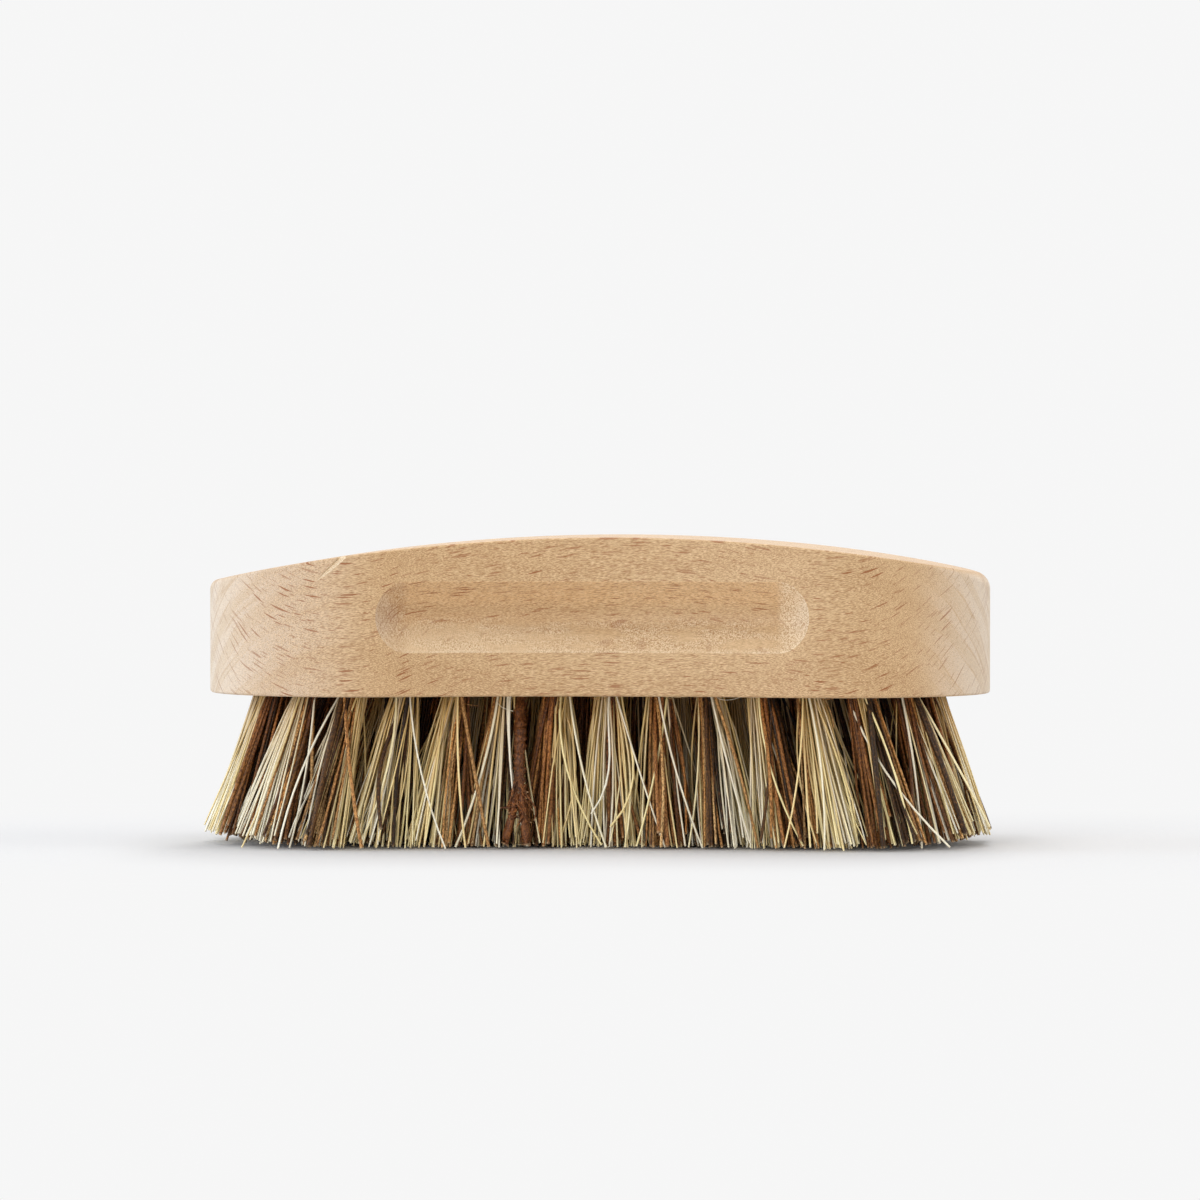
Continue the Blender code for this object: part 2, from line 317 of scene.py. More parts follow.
def milled_marks(wood, millimetres, x, up, tone):
    """The groove's own marks, drawn by where they lie in it: x along it, up from its middle line.

    The cutter raised fuzz below the crease and on the end grain at the right, left arcs at the left
    end and fine upright marks in the lower left. Painted shade darkens the crease and the left end's
    wall, and painted light pales the right end's wall and the lower slope; along the lower rim runs a
    pale line that is partly a burred edge and partly a painted highlight. Gives the tone with the
    marks, their relief, and how clear the wood's rays stay there.
    """
    # Where each mark lies
    beyond = (x.size() - GROOVE_END_X).most(0)
    reach = (beyond * beyond + up * up).root()
    ends = beyond.steps(-0.5, 2.0)
    left_end = ends * x.steps(0, -10)
    right_end = ends * x.steps(0, 10)
    low = up.steps(0.6, -1.6)
    lower_left = up.steps(-0.4, -2.4) * x.steps(8.0, -24.0)
    crease = up.steps(3.0, 0.4) * up.steps(-4.4, -1.4)
    patches = wood.noise(wood.scaled(millimetres, 0.1, 0.3, 0.45), 1.0).steps(0.3, 0.62)
    fuzzy = (low * patches * 0.95).most(right_end).most(left_end * 0.6)
    rim_burr_and_highlight = reach.steps(5.9, 6.4) * up.steps(-2.5, -5.0) * patches

    # How each mark looks
    fuzz = wood.noise(wood.scaled(millimetres, 3.8, 3.8, 3.8), 2.0, 0.7)
    bend = wood.noise(wood.scaled(millimetres, 0.3, 0.3, 0.6), 1.0) * 3.0
    chatter = (x + bend).wave(CHATTER_PITCH)
    arcs = (reach + bend * 0.2).wave(CHATTER_PITCH * 1.5) * (0.4 + patches * 0.6)

    # Painted shade along the crease, where the groove is deepest
    tone = wood.mix(crease * 0.22, tone, RING_TAN_AND_PAINTED_SHADE)
    # The lower slope, which faces up to the lamps, is paler: partly painted light, partly pale milled
    # wood
    tone = wood.mix(up.steps(-2.0, -4.0) * 0.32, tone, BEECH_LIGHT)
    tone = wood.mix(lower_left * 0.14, tone, FUZZ_WHITE_AND_PAINTED_LIGHT)
    # Painted shade on the left end's wall, which faces away from the lamps on the left, with its milling
    # arcs
    tone = wood.mix(left_end * (arcs * 0.28 + 0.22), tone, FUZZ_DARK_AND_PAINTED_SHADE)
    # Painted light on the right end's wall, which faces the lamps on the left, partly pale end-grain fuzz
    tone = wood.mix(right_end * 0.25, tone, FUZZ_WHITE_AND_PAINTED_LIGHT)
    tone = wood.mix(fuzz.steps(0.44, 0.62) * fuzzy * FUZZ_SHARE, tone, FUZZ_WHITE_AND_PAINTED_LIGHT)
    tone = wood.mix(fuzz.steps(0.54, 0.36) * fuzzy * FUZZ_SHARE, tone, FUZZ_DARK_AND_PAINTED_SHADE)
    tone = wood.mix(chatter * lower_left * 0.22, tone, FUZZ_WHITE_AND_PAINTED_LIGHT)
    # A pale line along the lower rim: partly a burred edge, partly a painted highlight
    tone = wood.mix(rim_burr_and_highlight * 0.16, tone, FUZZ_WHITE_AND_PAINTED_LIGHT)
    relief = fuzz * fuzzy * 2.5 + chatter * lower_left * 0.5 + arcs * left_end * 0.5
    return tone, relief, 1 - (low * 0.65).most(right_end * 0.8)


def end_grain(wood, rings, tone):
    """How far the surface is end grain, facing along the block, and the tone with it: pale, ringed."""
    facing = wood.parts(wood.node("ShaderNodeNewGeometry", output=1))[0]
    end = facing.size().steps(0.44, 1.0)
    end_tone = wood.mix(rings.steps(0.42, 0.6) * 0.5, END_CREAM, END_TAN)
    end_tone = wood.mix((rings - 0.5).size().steps(0.018, 0.0) * 0.5, end_tone, RING_TAN_AND_PAINTED_SHADE)
    return end, wood.mix(end * 0.9, tone, end_tone)


def beech(name, milled=False, torn=False):
    """Steamed beech. Milled beech was cut by the groove's cutter; torn beech is a fresh nick."""
    wood = Finish(name)
    place = wood.node("ShaderNodeTexCoord", output=3)
    millimetres = wood.scaled(place, 1 / MM, 1 / MM, 1 / MM)
    x, _, z = wood.parts(millimetres)
    up = z - (UNDERSIDE + GROOVE_HEIGHT) / MM
    grain = bent_grain(wood, millimetres)
    rings = wood.noise(wood.scaled(grain, *RING_GRAIN), 2.0)
    broad = wood.noise(wood.scaled(grain, *BROAD_GRAIN), 1.0)
    streaks = wood.noise(wood.scaled(grain, *STREAK_GRAIN), 1.0, 0.6)
    fibres = wood.noise(wood.scaled(grain, *FIBRE_GRAIN), 1.0, 0.7)
    rays = ray_flecks(wood, grain, *LARGE_RAYS).most(ray_flecks(wood, grain, *MORE_RAYS))
    small_rays = ray_flecks(wood, grain, *SMALL_RAYS)

    # The plain tone, with painted light in the upper half of a groove, where its slope faces down, partly
    # burnished wood
    tone = wood.mix(broad.steps(0.3, 0.7), BEECH_TAN, BEECH_WARM)
    tone = wood.mix(x.steps(*PALE_END) * 0.8, tone, BEECH_PALE)
    tone = wood.mix(rings.steps(0.45, 0.7) * 0.4, tone, RING_TAN_AND_PAINTED_SHADE)
    if milled:
        tone = wood.mix(up.steps(0.8, 4.0) * 0.7, tone, BURNISH_AND_PAINTED_LIGHT)
    end, tone = end_grain(wood, rings, tone)

    # Streaks, fibres and rays, fainter on the end grain and where the cutter worked
    grainy = 1 - end * 0.25
    tone = wood.mix(streaks.steps(0.5, 0.28) * grainy * 0.46, tone, BEECH_LIGHT)
    tone = wood.mix(streaks.steps(0.5, 0.72) * grainy * 0.5, tone, BEECH_DARK)
    tone = wood.mix(fibres.steps(0.5, 0.32) * grainy * 0.88, tone, BEECH_LIGHT)
    tone = wood.mix(fibres.steps(0.5, 0.68) * grainy * 0.93, tone, BEECH_DARK)
    relief = fibres * 0.6 + streaks * 0.5 - rays * 0.5
    fade = 1 - end * 0.42
    if milled:
        tone, marks, clear = milled_marks(wood, millimetres, x, up, tone)
        relief = relief + marks
        fade = fade * clear
    tone = wood.mix(small_rays * fade * 0.55, tone, RAY_BROWN)
    tone = wood.mix(rays * fade * 0.9, tone, RAY_BROWN)
    if torn:
        tone = wood.mix(0.85, tone, wood.mix(fibres.steps(0.4, 0.6), CUT_CREAM, CUT_SHADE))
    wood.link(tone, "Base Color")
    wood.link(0.5 + fibres * 0.16, "Roughness")
    wood.constant("Sheen Weight", 0.2)
    wood.constant("Sheen Roughness", 0.45)
    wood.constant("Sheen Tint", SHEEN_CREAM)
    wood.bump(relief, 0.05 * MM, 0.6)
    return wood.material


class Waisted:
    """A closed curve in plan: two round end lobes, joined front and back by a drawn-in waist arc."""

    def __init__(self, lobe_radius, half_waist):
        self.lobe_radius = lobe_radius
        self.half_waist = half_waist
        drop = lobe_radius - half_waist
        self.waist_radius = (LOBE_CENTRE**2 + half_waist**2 - lobe_radius**2) / (2 * drop)
        self.waist_angle = asin(LOBE_CENTRE / (self.waist_radius + lobe_radius))

    def quarter(self):
        """From the end at +X to the middle of the waist at +Y."""
        points = []
        for i in range(LOBE_FACETS):
            turn = (pi / 2 + self.waist_angle) * i / LOBE_FACETS
            points.append((LOBE_CENTRE + self.lobe_radius * cos(turn), self.lobe_radius * sin(turn)))
        for i in range(WAIST_FACETS + 1):
            turn = self.waist_angle * (1 - i / WAIST_FACETS)
            rise = self.waist_radius * (1 - cos(turn))
            points.append((self.waist_radius * sin(turn), self.half_waist + rise))
        return points

    def outline(self):
        first = self.quarter()
        second = [(-x, y) for x, y in reversed(first[:-1])]
        half = first + second
        return half + [(x, -y) for x, y in reversed(half[1:-1])]


def arch_height(x):
    """Height of the block's arched top above its underside. It is highest right of the middle."""
    return BLOCK_HEIGHT - (ARCH_RADIUS - sqrt(ARCH_RADIUS**2 - (x - ARCH_SHIFT) ** 2))


def ring(bm, points):
    return [bm.verts.new(point) for point in points]


def bridge(bm, lower, upper):
    """Faces between two closed rings of as many points."""
    for i in range(len(lower)):
        j = (i + 1) % len(lower)
        bm.faces.new((lower[i], lower[j], upper[j], upper[i]))


def loop_edges(bm, corners):
    return [bm.edges.get((a, b)) for a, b in zip(corners, corners[1:] + corners[:1])]


def made_object(name, bm, finish):
    bmesh.ops.recalc_face_normals(bm, faces=bm.faces)
    mesh = bpy.data.meshes.new(name)
    bm.to_mesh(mesh)
    bm.free()
    mesh.shade_smooth()
    mesh.materials.append(finish)
    obj = bpy.data.objects.new(name, mesh)
    bpy.context.scene.collection.objects.link(obj)
    return obj


def top_round(x):
    """Radius of the top edge here: it is sanded rounder at the ends, most at the right."""
    share = max(0, abs(x) - BLOCK_LENGTH / 2 + ROUND_REACH) / ROUND_REACH
    return EDGE_ROUND + ((RIGHT_ROUND if x > 0 else LEFT_ROUND) - EDGE_ROUND) * share**2


def side_rows():
    """The side's outlines from the underside's edge to the top's edge, both rounded off."""
    outer = Waisted(LOBE_RADIUS, HALF_WAIST).outline()
    inner = Waisted(LOBE_RADIUS - EDGE_ROUND, HALF_WAIST - EDGE_ROUND).outline()
    ways = [((b[0] - a[0]) / EDGE_ROUND, (b[1] - a[1]) / EDGE_ROUND) for a, b in zip(outer, inner)]
    low, high = [], []
    for i in range(EDGE_FACETS + 1):
        turn = pi / 2 * i / EDGE_FACETS
        low_row, high_row = [], []
        for (x, y), (way_x, way_y) in zip(outer, ways):
            inset = EDGE_ROUND * (1 - sin(turn))
            lift = EDGE_ROUND * (1 - cos(turn))
            low_row.append((x + way_x * inset, y + way_y * inset, UNDERSIDE + lift))
            radius = top_round(x)
            inset = radius * (1 - sin(turn))
            x_in = x + way_x * inset
            drop = radius * (1 - cos(turn))
            high_row.append((x_in, y + way_y * inset, UNDERSIDE + arch_height(x_in) - drop))
        low.append(low_row)
        high.append(high_row)
    return low + high[::-1]


def circle(centre, radius, height, sides):
    x, y = centre
    turns = [2 * pi * i / sides for i in range(sides)]
    return [(x + radius * cos(turn), y + radius * sin(turn), height) for turn in turns]


def block_body(hole_centres):
    """The closed block with its drilled holes. Its top is strips that run from front to back."""
    bm = bmesh.new()
    rows = [ring(bm, row) for row in side_rows()]
    for lower, upper in zip(rows, rows[1:]):
        bridge(bm, lower, upper)
    top = rows[-1]
    count = len(top)
    for i in range(count // 2):
        strip = [top[i], top[i + 1], top[(count - i - 1) % count], top[(count - i) % count]]
        bm.faces.new(list(dict.fromkeys(strip)))
    edges = loop_edges(bm, rows[0])
    for centre in hole_centres:
        mouth = ring(bm, circle(centre, HOLE_RADIUS, UNDERSIDE, HOLE_SIDES))
        blind = ring(bm, circle(centre, HOLE_RADIUS, UNDERSIDE + HOLE_DEPTH, HOLE_SIDES))
        bridge(bm, mouth, blind)
        bm.faces.new(blind)
        edges += loop_edges(bm, mouth)
    bmesh.ops.triangle_fill(bm, edges=edges, use_beauty=True)
    return bm


def groove_profile():
    """(distance from the groove's middle line, depth) from the middle out: the cut, then the rim."""
    span = hypot(GROOVE_NOSE, GROOVE_REACH) - GROOVE_NOSE
    rate = GROOVE_DEPTH / span
    slope = atan2(rate * GROOVE_REACH, hypot(GROOVE_NOSE, GROOVE_REACH))
    start = GROOVE_REACH - RIM_ROUND * tan(slope / 2) * cos(slope)
    points = []
    for i in range(CUT_STEPS + 1):
        reach = start * i / CUT_STEPS
        points.append((reach, GROOVE_DEPTH - rate * (hypot(GROOVE_NOSE, reach) - GROOVE_NOSE)))
    centre = start + RIM_ROUND * sin(slope), points[-1][1] + RIM_ROUND * cos(slope)
    for i in range(1, RIM_STEPS + 1):
        turn = slope + (RIM_SLOPE - slope) * i / RIM_STEPS
        points.append((centre[0] - RIM_ROUND * sin(turn), centre[1] - RIM_ROUND * cos(turn)))
    reach, depth = points[-1]
    points.append((reach + (depth + CUTTER_LIFT) / tan(RIM_SLOPE), -CUTTER_LIFT))
    return points


def stadium(reach, half_path, stations=40, turns=24):
    """(along, up) round a long hole with round ends, this far from its middle line."""
    points = []
    for i in range(stations):
        points.append((half_path * (1 - 2 * i / stations), reach))
    for i in range(turns):
        turn = pi / 2 + pi * i / turns
        points.append((-half_path + reach * cos(turn), reach * sin(turn)))
    return points + [(-along, -up) for along, up in points]


def groove_cutter(name, side, finish):
    """A dish that follows the waist's arc, with a lid just outside the block's side."""
    waist = Waisted(LOBE_RADIUS, HALF_WAIST)
    centre_y = waist.half_waist + waist.waist_radius
    levels = groove_profile()
    levels.append((0, -CUTTER_LIFT))
    bm = bmesh.new()
    rings = []
    for reach, depth in levels:
        path = waist.waist_radius + depth
        spots = []
        for along, up in stadium(reach, GROOVE_HALF_PATH):
            turn = along / waist.waist_radius
            y = side * (centre_y - path * cos(turn))
            spots.append((path * sin(turn), y, UNDERSIDE + GROOVE_HEIGHT + up))
        rings.append(ring(bm, spots))
    for lower, upper in zip(rings, rings[1:]):
        bridge(bm, lower, upper)
    bmesh.ops.remove_doubles(bm, verts=bm.verts, dist=MERGE_REACH)
    return made_object(name, bm, finish)


def cut(obj, cutter):
    """Cuts the cutter out of the object. The cut faces take the cutter's finish."""
    modifier = obj.modifiers.new(cutter.name, "BOOLEAN")
    modifier.operation = "DIFFERENCE"
    modifier.solver = "EXACT"
    modifier.material_mode = "TRANSFER"
    modifier.object = cutter
    cutter.hide_render = True
    cutter.hide_viewport = True


def nick_cutter(finish):
    """The form of a knife-like nick, from the top's front edge down to the left: steep above."""
    ends = []
    for x, height in (NICK_LOW, NICK_HIGH):
        y = -sqrt(LOBE_RADIUS**2 - (x + LOBE_CENTRE) ** 2)
        ends.append(Vector((x, y, UNDERSIDE + height)))
    low, high = ends
    middle = (low + high) / 2
    out = Vector((middle.x + LOBE_CENTRE, middle.y, 0)).normalized()
    along = (high - low).normalized()
    below = along.cross(out).normalized()
    if below.z > 0:
        below = -below
    root = high + along * NICK_OVERRUN
    bm = bmesh.new()
    tip = bm.verts.new(low)
    deep = bm.verts.new(root - out * NICK_DEPTH - below * NICK_ABOVE / 2)
    steep = bm.verts.new(root + out * NICK_CLEAR - below * NICK_ABOVE)
    flat = bm.verts.new(root + out * NICK_CLEAR + below * NICK_BELOW)
    for face in ((tip, deep, steep), (tip, steep, flat), (tip, flat, deep), (deep, flat, steep)):
        bm.faces.new(face)
    return made_object("nick_cutter", bm, finish)


def make_block(hole_centres):
    block = made_object("beech_block", block_body(hole_centres), beech("beech"))
    milled = beech("milled_beech", milled=True)
    cut(block, groove_cutter("front_groove_cutter", -1, milled))
    cut(block, groove_cutter("back_groove_cutter", 1, milled))
    cut(block, nick_cutter(beech("torn_beech", torn=True)))
    bpy.context.view_layer.update()
    graph = bpy.context.evaluated_depsgraph_get()
    mesh = bpy.data.meshes.new_from_object(block.evaluated_get(graph), depsgraph=graph)
    for modifier in list(block.modifiers):
        cutter = modifier.object
        block.modifiers.remove(modifier)
        bpy.data.objects.remove(cutter)
    block.data = mesh
    mesh.set_sharp_from_angle(angle=SHARP_ANGLE)
    block.modifiers.new("even_shading", "WEIGHTED_NORMAL").keep_sharp = True
    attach(block, "root")
    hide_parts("block")


def tuft_ends(node):
    """The middle of a tuft's hole, and the middle of its tips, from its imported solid."""
    corners = [vertex.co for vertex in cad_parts[node].data.vertices]
    roots = [co for co in corners if co.z > UNDERSIDE + HOLE_DEPTH / 2]
    tips = [co for co in corners if co.z < UNDERSIDE / 2]
    return sum(roots, Vector()) / len(roots), sum(tips, Vector()) / len(tips)


# The tufts, and those along the front from left to right
TUFTS = sorted(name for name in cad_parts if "tuft" in name)
FRONT_TUFTS = [name for name in TUFTS if name.startswith("outer") and tuft_ends(name)[0].y < -MM]
FRONT_TUFTS.sort(key=lambda name: tuft_ends(name)[0].x)

# How a tuft fans out, from its hole's mouth to its tips
FIBRES_PER_TUFT = 88
ROOT_REACH = 2.6 * MM
TIP_REACH = 5.6 * MM
LOOSE = 0.8 * MM
TIP_STRAY = 1.1 * MM
RARE_STRAY = 4.4 * MM
RARE_SHARE = 0.13
TIP_MARGIN = 1.8 * MM
BOX_GAP = 0.02 * MM
TABLE_GAP = 0.12 * MM

# The length of a fibre below the block: most are trimmed alike, and the rest are shorter
TRIMMED = 29.3 * MM
TRIMMED_SHARE = 0.66
TRIM_SCATTER = 0.3 * MM
SHORT_SCATTER = 2.4 * MM
END_TRIM = 1.6 * MM

# The form of a fibre
FIBRE_RINGS = 9
IN_HOLE = 3 * MM
CUT_EDGE = 0.45 * MM
SLIGHT_BOW = 0.4 * MM
STRONG_BOW = 1.3 * MM
STRONG_SHARE = 0.12
KINK_SHARE = 0.05
STRAIGHT_PAST_SHARE = 0.4
TAPER_SHARE = 0.14
LUMP_SHARE = 0.1
ROUND_SIDES = 5
THICK_SIDES = 11
THICK = 0.5 * MM

# How light a fibre is at its hole, where painted shade stands for the shade deep among the fibres, at
# its tip and at most, how its tone drifts, and how strongly its red, green and blue fade towards the hole
OUTER_ROOT_LIGHT = 0.5
INNER_ROOT_LIGHT = 0.3
TIP_LIGHT = 1.09
PALEST = 0.9
LIT_SHARE = 0.8
TONE_DRIFT = 0.07
FADE_POWERS = (0.6, 0.95, 1.5)

# A fibre's strip in the baked map: the margins round it, the share its side takes, and the two cut
# ends above that
MAP_ROWS = 2
STRIP_MARGIN = 0.06
ROW_MARGIN = 0.01
SIDE_SHARE = 0.8
CUT_PLACES = (0.86, 0.95)
CUT_WIDTH = 0.4
CUT_HEIGHT = 0.035


class Kind:
    """A sort of plant fibre: its radius in millimetres, its tones, and how light or dark they vary.

    rough is 1 for the stalks, which are lumpy and take the brown finish, and 0 for smooth fibre.
    """

    def __init__(self, thin, thick, rough, shades, tones):
        self.thin = thin * MM
        self.thick = thick * MM
        self.rough = rough
        self.shades = shades
        self.tones = tones


STRAW_TONES = [(246, 225, 160), (238, 212, 148), (226, 199, 138), (250, 232, 178)]
CREAM_TONES = [(250, 241, 215), (250, 238, 202), (246, 234, 204)]
TAN_TONES = [(204, 154, 94), (184, 134, 80), (212, 172, 116)]
RUSSET_TONES = [(142, 96, 54), (118, 78, 44), (160, 110, 62)]
BARK_TONES = [(76, 52, 25), (60, 42, 21), (92, 64, 33)]
HUSK_TONES = [(118, 72, 38), (98, 60, 32), (132, 84, 46)]
KINDS = {
    "straw": Kind(0.14, 0.25, 0, (0.74, 2.0), STRAW_TONES),
    "cream": Kind(0.14, 0.24, 0, (0.95, 1.9), CREAM_TONES),
    "tan": Kind(0.22, 0.36, 1, (0.76, 1.55), TAN_TONES),
    "russet": Kind(0.24, 0.42, 1, (0.65, 1.5), RUSSET_TONES),
    "bark": Kind(0.26, 0.46, 1, (0.6, 1.4), BARK_TONES),
    "husk": Kind(0.08, 0.20, 1, (0.7, 1.4), HUSK_TONES),
}
TIP_CREAM = (244, 232, 200)

# Streaks and specks on a fibre: their tints, and repeats to the millimetre across and along it
STREAK_TINT = colour(160, 138, 112)
SPECK_TINT = colour(116, 88, 62)
RUST = colour(178, 112, 58)
STREAK_FINENESS = (3.0, 3.0, 0.12)
SPECK_FINENESS = (4.0, 4.0, 2.2)

# The kinds across a tuft, from left to right, a letter each: for the front tufts from left to
# right, for those round the two ends, and how common each kind is in all the others
LETTERS = {"s": "straw", "c": "cream", "t": "tan", "r": "russet", "b": "bark"}
FRONT_MIXES = ["scrbrr", "ccctrb", "ctbtss", "sscbss", "sscstr", "tscbss", "trrsss", "sscrss",
               "strsrc", "stbccs", "scstrb", "tssscs", "rrssbt", "rscrts", "rbrscs"]
LEFT_END_MIX = "ccscsc"
RIGHT_END_MIX = "strcsb"
COMMON_MIX = {"s": 35, "c": 12, "t": 16, "r": 22, "b": 15}
MIX_LENGTH = 6
MIX_SCATTER = 0.55
BROWNS = "trb"


def fibre_finish(name, soft, gloss, streak_share, speck_share):
    """Plant fibre: its own tone, streaked along its length, with specks."""
    finish = Finish(name)
    own = finish.node("ShaderNodeAttribute", {"attribute_name": "fibre_tone"})
    place = finish.node("ShaderNodeAttribute", {"attribute_name": "fibre_place"}, output=1)
    streaks = finish.noise(finish.scaled(place, *STREAK_FINENESS), 2.0)
    specks = finish.noise(finish.scaled(place, *SPECK_FINENESS), 3.0, 0.7)
    tone = finish.tint(streaks.steps(0.4, 0.7) * streak_share, own, STREAK_TINT)
    tone = finish.tint(specks.steps(0.45, 0.57) * speck_share, tone, SPECK_TINT)
    tone = finish.mix(specks.steps(0.44, 0.32) * speck_share * 0.4, tone, RUST)
    finish.link(tone, "Base Color")
    finish.link(soft + specks * 0.12, "Roughness")
    finish.constant("Specular IOR Level", gloss)
    finish.bump(streaks + specks * 0.6, 0.06 * MM, 0.7)
    return finish.material


class Strands:
    """Collects the tubes of many fibres, then makes one mesh of them.

    Each tube has its own strip in the OFBake map: its side runs up the strip, and the two cut ends
    lie above it.
    """

    def __init__(self, chance):
        self.chance = chance
        self.points = []
        self.tones = []
        self.places = []
        self.faces = []
        self.finishes = []
        self.map = []
        self.count = 0

    def corner(self, point, tone, place):
        self.points.append(tuple(point))
        self.tones.append(tone)
        self.places.append(place)

    def face(self, corners, finish, spots):
        self.faces.append(corners)
        self.finishes.append(finish)
        self.map.append([(self.count, *spot) for spot in spots])

    def tube(self, path, radii, tones, finish, cut_tone, ragged=0.0):
        """A tube of these radii and tones along the path, with its ends cut square."""
        chance = self.chance
        sides = ROUND_SIDES if max(radii) < THICK else THICK_SIDES
        first = len(self.points)
        seed = Vector((chance.uniform(0, 90), chance.uniform(0, 90), chance.uniform(0, 90)))
        start = chance.uniform(0, 2 * pi)
        length = 0.0
        loops = []
        for k, spot in enumerate(path):
            ahead = (path[min(k + 1, len(path) - 1)] - path[max(k - 1, 0)]).normalized()
            side = (Vector((1, 0, 0)) - ahead * ahead.x).normalized()
            up = ahead.cross(side)
            length += (spot - path[max(k - 1, 0)]).length
            loop = []
            for s in range(sides):
                turn = start + 2 * pi * s / sides
                reach = radii[k] * (1 + ragged * chance.uniform(-1, 1))
                offset = side * (reach * cos(turn)) + up * (reach * sin(turn))
                loop.append(spot + offset)
                round_place = Vector((cos(turn), sin(turn), 0)) * (radii[k] / MM)
                self.corner(loop[-1], tones[k], seed + round_place + Vector((0, 0, length / MM)))
            loops.append(loop)
        self.side(first, len(path), sides, finish)
        for loop, height in zip((loops[0][::-1], loops[-1]), CUT_PLACES):
            self.cut_end(loop, cut_tone, seed, finish, height)
        self.count += 1

    def side(self, first, rows, sides, finish):
        """The tube's side, over rows of corners that start at the first."""
        for k in range(rows - 1):
            row, next_row = first + k * sides, first + (k + 1) * sides
            low, high = SIDE_SHARE * k / (rows - 1), SIDE_SHARE * (k + 1) / (rows - 1)
            for s in range(sides):
                t = (s + 1) % sides
                left, right = s / sides, (s + 1) / sides
                self.face((row + s, row + t, next_row + t, next_row + s), finish,
                          ((left, low), (right, low), (right, high), (left, high)))

    def cut_end(self, loop, tone, seed, finish, height):
        """A flat end with corners of its own, so that its edge stays sharp."""
        base = len(self.points)
        for point in loop:
            self.corner(point, tone, seed + point / MM)
        turns = [2 * pi * s / len(loop) for s in range(len(loop))]
        spots = [(0.5 + CUT_WIDTH * cos(turn), height + CUT_HEIGHT * sin(turn)) for turn in turns]
        self.face(tuple(range(base, base + len(loop))), finish, spots)

    def mesh(self, name, finishes):
        made = bpy.data.meshes.new(name)
        made.from_pydata(self.points, [], self.faces)
        tone = made.attributes.new("fibre_tone", "FLOAT_COLOR", "POINT")
        tone.data.foreach_set("color", np.array(self.tones, np.float32).ravel())
        place = made.attributes.new("fibre_place", "FLOAT_VECTOR", "POINT")
        place.data.foreach_set("vector", np.array([tuple(p) for p in self.places], np.float32).ravel())
        made.polygons.foreach_set("material_index", np.array(self.finishes, np.int32))
        made.shade_smooth()
        columns = -(-self.count // MAP_ROWS)
        spots = []
        for corners in self.map:
            for index, across, along in corners:
                column, row = index % columns, index // columns
                spots.append((column + STRIP_MARGIN + (1 - 2 * STRIP_MARGIN) * across) / columns)
                spots.append((row + ROW_MARGIN + (1 - 2 * ROW_MARGIN) * along) / MAP_ROWS)
        made.uv_layers.new(name="OFBake").data.foreach_set("uv", np.array(spots, np.float32))
        for finish in finishes:
            made.materials.append(finish)
        made.update()
        return made


def linear_tone(tone, shade, lit=1.0):
    """A screen colour as linear light: shaded, but before lit no brighter than the palest fibre.

    A lit below 1 paints shade deep among the fibres, darker and warmer. Above 1 it is paler.
    """
    light = colour(*tone)[:3]
    shade = min(shade, PALEST / max(light))
    return tuple(c * shade * lit**power for c, power in zip(light, FADE_POWERS)) + (1.0,)


def kept_inside(spot, radius):
    """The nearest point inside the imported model's box and above the table."""
    low, high = cad_box
    reach = radius + BOX_GAP
    return Vector((min(max(spot.x, low[0] + reach), high[0] - reach),
                   min(max(spot.y, low[1] + reach), high[1] - reach),
                   max(spot.z, reach + TABLE_GAP)))


def fibre_path(start, aim, length, bend, kink):
    """From inside the hole down to the tip: a slight bend, and at a kink the way turns."""
    way = (aim - start).normalized() * length
    path = [start + Vector((0, 0, IN_HOLE)), start]
    turned = Vector()
    for k in range(1, FIBRE_RINGS):
        share = k / (FIBRE_RINGS - 1)
        if kink and share > kink[0]:
            turned = kink[1] * ((share - kink[0]) * length)
        path.append(start + way * share + bend * sin(pi * share) + turned)
    return path


def add_path(strands, path, name, radius, root_light=1.0, ragged=0.0):
    """A fibre along this path, which tapers to its cut tip and is darker towards its root with painted
    shade.
    """
    chance = strands.chance
    kind = KINDS[name]
    path = [kept_inside(spot, radius) for spot in path]
    path.insert(-1, path[-1] + (path[-2] - path[-1]).normalized() * CUT_EDGE)
    tone = chance.choice(kind.tones)
    shade = chance.uniform(*kind.shades)
    radii, tones = [], []
    drift = 1.0
    for k in range(len(path)):
        share = k / (len(path) - 1)
        drift += chance.uniform(-TONE_DRIFT, TONE_DRIFT)
        rise = min(share / LIT_SHARE, 1.0)
        lit = root_light + (TIP_LIGHT - root_light) * rise * rise * (3 - 2 * rise)
        tones.append(linear_tone(tone, shade * drift, lit))
        lump = 1 + chance.uniform(-LUMP_SHARE, LUMP_SHARE) * (0.5 + kind.rough)
        radii.append(radius * lump * (1 - TAPER_SHARE * share))
    tones[-1] = linear_tone(tuple((a + b) / 2 for a, b in zip(tone, TIP_CREAM)), 1.0)
    strands.tube(path, radii, tones, kind.rough, tones[-1], ragged)


def held_back(spot, root, tips):
    """The spot moved back to the brush's outline, where it lies further out than its tuft fans."""
    share = max(0, (UNDERSIDE - spot.z) / UNDERSIDE)
    out = Vector((tips.x - root.x, tips.y - root.y, 0)).normalized()
    reach = ROOT_REACH + (TIP_REACH + LOOSE - ROOT_REACH) * share
    middle = root + (tips - root) * share
    return spot - out * max(0, (spot - middle).dot(out) - reach)


